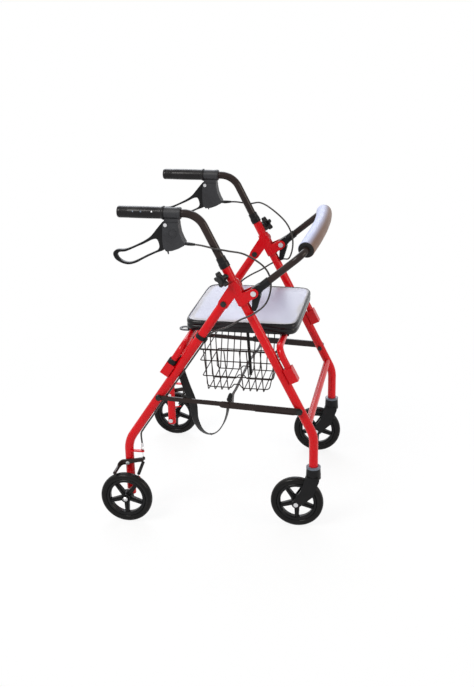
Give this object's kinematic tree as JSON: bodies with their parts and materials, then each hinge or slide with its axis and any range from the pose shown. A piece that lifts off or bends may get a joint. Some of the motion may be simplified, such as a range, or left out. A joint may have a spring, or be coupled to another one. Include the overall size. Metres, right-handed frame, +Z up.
{
  "type": "rollator walker",
  "caption": "Folding wheeled walking frame with padded seat, foam back bow, wire basket, swivel front wheels and loop hand brakes on height-adjustable handles.",
  "frame": {"origin": "bottom centre of the bounding box, on the floor under the wheels", "axes": "+X forward, away from the user; +Y to the user's left; +Z up"},
  "size_m": [0.643, 0.628, 0.928],
  "materials": {
    "red_paint": "gloss",
    "black_paint": "satin",
    "black_plastic": "satin",
    "black_bolts": "gloss",
    "grey_plastic": "gloss",
    "bright_steel": "polished",
    "tyre": "matte",
    "grip_rubber": "satin",
    "foam": "satin foam skin",
    "vinyl": "satin vinyl",
    "webbing": "woven",
    "cable": "satin"
  },
  "bodies": {
    "front_frame": {"front_legs": "red_paint", "seat_bar_front": "red_paint", "brackets": "red_paint", "leg_sleeves": "black_plastic", "pivot_bolts": "black_bolts", "back_bolts": "bright_steel", "front_brace_bolts": "black_bolts", "basket": "black_paint", "cable_l": "cable", "cable_r": "cable", "lift_strap": "webbing", "pull_strap": "webbing"},
    "rear_frame": {"rear_legs": "red_paint", "seat_bar_rear": "red_paint", "socket_rings": "black_plastic", "rear_axles": "bright_steel", "brake_pins": "bright_steel", "rear_brace_bolts": "black_bolts", "cable_ties": "black_plastic", "brake_spring_l": "bright_steel", "brake_spring_r": "bright_steel", "hold_strap": "webbing"},
    "backrest": {"back_bow": "black_paint", "back_foam": "foam", "back_clips": "black_plastic"},
    "seat": {"seat_cushion": "vinyl", "seat_board": "black_plastic", "seat_clips": "black_plastic"},
    "rear_wheel_l": {"hub_rl": "black_plastic", "tyre_rl": "tyre"},
    "front_wheel_l": {"hub_fl": "black_plastic", "tyre_fl": "tyre"},
    "caster_l": {"fork_l": "black_plastic", "collar_ring_l": "grey_plastic", "caster_axle_l": "bright_steel"},
    "handle_l": {"handle_tube_l": "black_paint", "grip_l": "grip_rubber", "brake_housing_l": "black_plastic", "lever_bolt_l": "bright_steel"},
    "brake_lever_l": {"lever_l": "black_plastic"},
    "height_knob_l": {"knob_l": "black_plastic"},
    "brake_shoe_l": {"brake_arm_l": "black_paint"},
    "front_brace_l": {"front_link_l": "black_paint"},
    "rear_brace_l": {"rear_link_l": "black_paint"},
    "rear_wheel_r": {"hub_rr": "black_plastic", "tyre_rr": "tyre"},
    "front_wheel_r": {"hub_fr": "black_plastic", "tyre_fr": "tyre"},
    "caster_r": {"fork_r": "black_plastic", "collar_ring_r": "grey_plastic", "caster_axle_r": "bright_steel"},
    "handle_r": {"handle_tube_r": "black_paint", "grip_r": "grip_rubber", "brake_housing_r": "black_plastic", "lever_bolt_r": "bright_steel"},
    "brake_lever_r": {"lever_r": "black_plastic"},
    "height_knob_r": {"knob_r": "black_plastic"},
    "brake_shoe_r": {"brake_arm_r": "black_paint"},
    "front_brace_r": {"front_link_r": "black_paint"},
    "rear_brace_r": {"rear_link_r": "black_paint"}
  },
  "joints": [
    {"name": "frame_fold", "type": "hinge", "parent": "front_frame", "child": "rear_frame", "pos_m": [0.04452, 0, 0.66699], "axis": [0, -1, 0], "range_deg": [0, 26], "deforming": ["cable_l", "cable_r", "lift_strap", "hold_strap"]},
    {"name": "backrest_tilt", "type": "hinge", "parent": "front_frame", "child": "backrest", "pos_m": [0.12698, 0, 0.70003], "axis": [0, -1, 0], "range_deg": [0, 55]},
    {"name": "seat_lift", "type": "hinge", "parent": "front_frame", "child": "seat", "pos_m": [0.19126, 0, 0.5395], "axis": [0, 1, 0], "range_deg": [0, 80], "deforming": ["pull_strap"]},
    {"name": "caster_swivel_l", "type": "hinge", "parent": "front_frame", "child": "caster_l", "pos_m": [0.2895, 0.242, 0.16], "axis": [0, 0, 1], "continuous": true},
    {"name": "front_wheel_spin_l", "type": "hinge", "parent": "caster_l", "child": "front_wheel_l", "pos_m": [0.243, 0.242, 0.076], "axis": [0, 1, 0], "continuous": true},
    {"name": "rear_wheel_spin_l", "type": "hinge", "parent": "rear_frame", "child": "rear_wheel_l", "pos_m": [-0.248, 0.293, 0.076], "axis": [0, 1, 0], "continuous": true},
    {"name": "handle_height_l", "type": "slide", "parent": "front_frame", "child": "handle_l", "axis": [-0.4472, 0, 0.8944], "range_m": [-0.075, 0.05], "deforming": ["cable_l"]},
    {"name": "height_knob_turn_l", "type": "hinge", "parent": "front_frame", "child": "height_knob_l", "pos_m": [0.05919, 0.242, 0.74663], "axis": [0.5383, 0.7986, 0.2691], "continuous": true},
    {"name": "brake_lever_pull_l", "type": "hinge", "parent": "handle_l", "child": "brake_lever_l", "pos_m": [-0.107, 0.242, 0.8804], "axis": [0, 1, 0], "range_deg": [0, 18], "stiffness_Nm_per_rad": 2, "springref_deg": -14.32},
    {"name": "brake_shoe_turn_l", "type": "hinge", "parent": "rear_frame", "child": "brake_shoe_l", "pos_m": [-0.249, 0.2583, 0.169], "axis": [0, -1, 0], "range_deg": [0, 5], "deforming": ["brake_spring_l"]},
    {"name": "front_brace_turn_l", "type": "hinge", "parent": "front_frame", "child": "front_brace_l", "pos_m": [0.2505, 0.242, 0.36399], "axis": [0, 1, 0], "range_deg": [0, 38.42]},
    {"name": "rear_brace_turn_l", "type": "hinge", "parent": "rear_frame", "child": "rear_brace_l", "pos_m": [-0.1485, 0.242, 0.37996], "axis": [0, -1, 0], "range_deg": [0, 35.57]},
    {"name": "caster_swivel_r", "type": "hinge", "parent": "front_frame", "child": "caster_r", "pos_m": [0.2895, -0.242, 0.16], "axis": [0, 0, 1], "continuous": true},
    {"name": "front_wheel_spin_r", "type": "hinge", "parent": "caster_r", "child": "front_wheel_r", "pos_m": [0.243, -0.242, 0.076], "axis": [0, 1, 0], "continuous": true},
    {"name": "rear_wheel_spin_r", "type": "hinge", "parent": "rear_frame", "child": "rear_wheel_r", "pos_m": [-0.248, -0.293, 0.076], "axis": [0, 1, 0], "continuous": true},
    {"name": "handle_height_r", "type": "slide", "parent": "front_frame", "child": "handle_r", "axis": [-0.4472, 0, 0.8944], "range_m": [-0.075, 0.05], "deforming": ["cable_r"]},
    {"name": "height_knob_turn_r", "type": "hinge", "parent": "front_frame", "child": "height_knob_r", "pos_m": [0.05919, -0.242, 0.74663], "axis": [-0.5383, -0.7986, -0.2691], "continuous": true},
    {"name": "brake_lever_pull_r", "type": "hinge", "parent": "handle_r", "child": "brake_lever_r", "pos_m": [-0.107, -0.242, 0.8804], "axis": [0, 1, 0], "range_deg": [0, 18], "stiffness_Nm_per_rad": 2, "springref_deg": -14.32},
    {"name": "brake_shoe_turn_r", "type": "hinge", "parent": "rear_frame", "child": "brake_shoe_r", "pos_m": [-0.249, -0.2583, 0.169], "axis": [0, -1, 0], "range_deg": [0, 5], "deforming": ["brake_spring_r"]},
    {"name": "front_brace_turn_r", "type": "hinge", "parent": "front_frame", "child": "front_brace_r", "pos_m": [0.2505, -0.242, 0.36399], "axis": [0, 1, 0], "range_deg": [0, 38.42]},
    {"name": "rear_brace_turn_r", "type": "hinge", "parent": "rear_frame", "child": "rear_brace_r", "pos_m": [-0.1485, -0.242, 0.37996], "axis": [0, -1, 0], "range_deg": [0, 35.57]}
  ],
  "couplings": [
    {"joint": "brake_shoe_turn_l", "follows": "brake_lever_pull_l", "ratio": 0.2777},
    {"joint": "front_brace_turn_l", "follows": "frame_fold", "ratio": 1.4776},
    {"joint": "rear_brace_turn_l", "follows": "frame_fold", "ratio": 1.368},
    {"joint": "brake_shoe_turn_r", "follows": "brake_lever_pull_r", "ratio": 0.2777},
    {"joint": "front_brace_turn_r", "follows": "frame_fold", "ratio": 1.4776},
    {"joint": "rear_brace_turn_r", "follows": "frame_fold", "ratio": 1.368}
  ]
}
